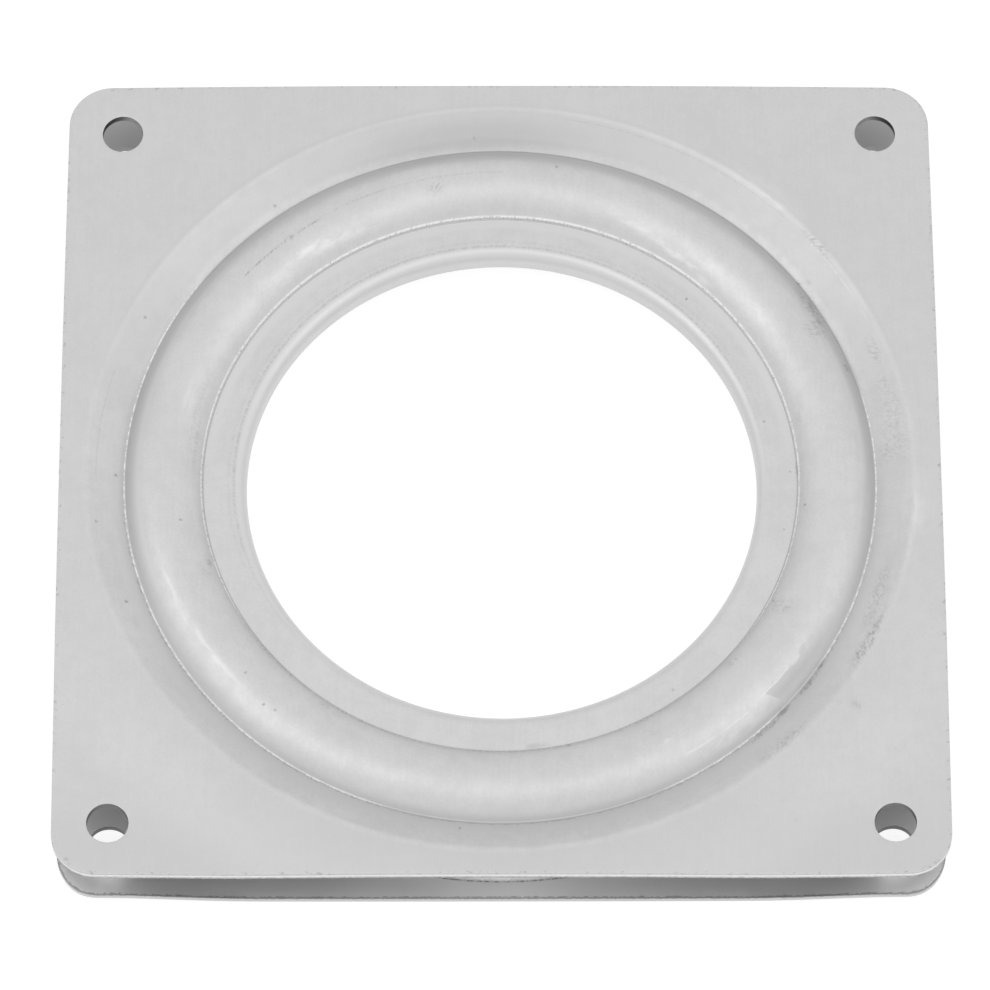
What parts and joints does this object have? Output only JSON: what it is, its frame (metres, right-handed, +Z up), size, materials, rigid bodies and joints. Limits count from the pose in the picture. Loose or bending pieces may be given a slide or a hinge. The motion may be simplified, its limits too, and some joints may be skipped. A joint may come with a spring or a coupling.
{
  "type": "lazy susan bearing",
  "caption": "Square ball bearing turntable: stamped steel plates with a drawn centre collar, turning on a caged ring of balls.",
  "frame": {"origin": "centre of the lower plate's bottom face", "axes": "+Z up along the axis of rotation; X and Y along the sides of the square plates"},
  "size_m": [0.1016, 0.1016, 0.0079],
  "materials": {
    "plated_steel": "zinc-plated satin, lightly scuffed",
    "retainer_plastic": "moulded natural acetal",
    "ball_steel": "polished hardened steel"
  },
  "bodies": {
    "lower_plate": {"lower_plate": "plated_steel"},
    "upper_plate": {"upper_plate": "plated_steel"},
    "ball_ring": {"ball_retainer": "retainer_plastic", "ball_01": "ball_steel", "ball_02": "ball_steel", "ball_03": "ball_steel", "ball_04": "ball_steel", "ball_05": "ball_steel", "ball_06": "ball_steel", "ball_07": "ball_steel", "ball_08": "ball_steel", "ball_09": "ball_steel", "ball_10": "ball_steel", "ball_11": "ball_steel", "ball_12": "ball_steel", "ball_13": "ball_steel", "ball_14": "ball_steel", "ball_15": "ball_steel", "ball_16": "ball_steel", "ball_17": "ball_steel", "ball_18": "ball_steel", "ball_19": "ball_steel", "ball_20": "ball_steel", "ball_21": "ball_steel", "ball_22": "ball_steel", "ball_23": "ball_steel", "ball_24": "ball_steel"}
  },
  "joints": [
    {"name": "plate_spin", "type": "hinge", "parent": "lower_plate", "child": "upper_plate", "pos_m": [0, 0, 0.00397], "axis": [0, 0, 1], "continuous": true},
    {"name": "ball_ring_spin", "type": "hinge", "parent": "lower_plate", "child": "ball_ring", "pos_m": [0, 0, 0.00397], "axis": [0, 0, 1], "continuous": true}
  ],
  "couplings": [
    {"joint": "ball_ring_spin", "follows": "plate_spin", "ratio": 0.5}
  ]
}
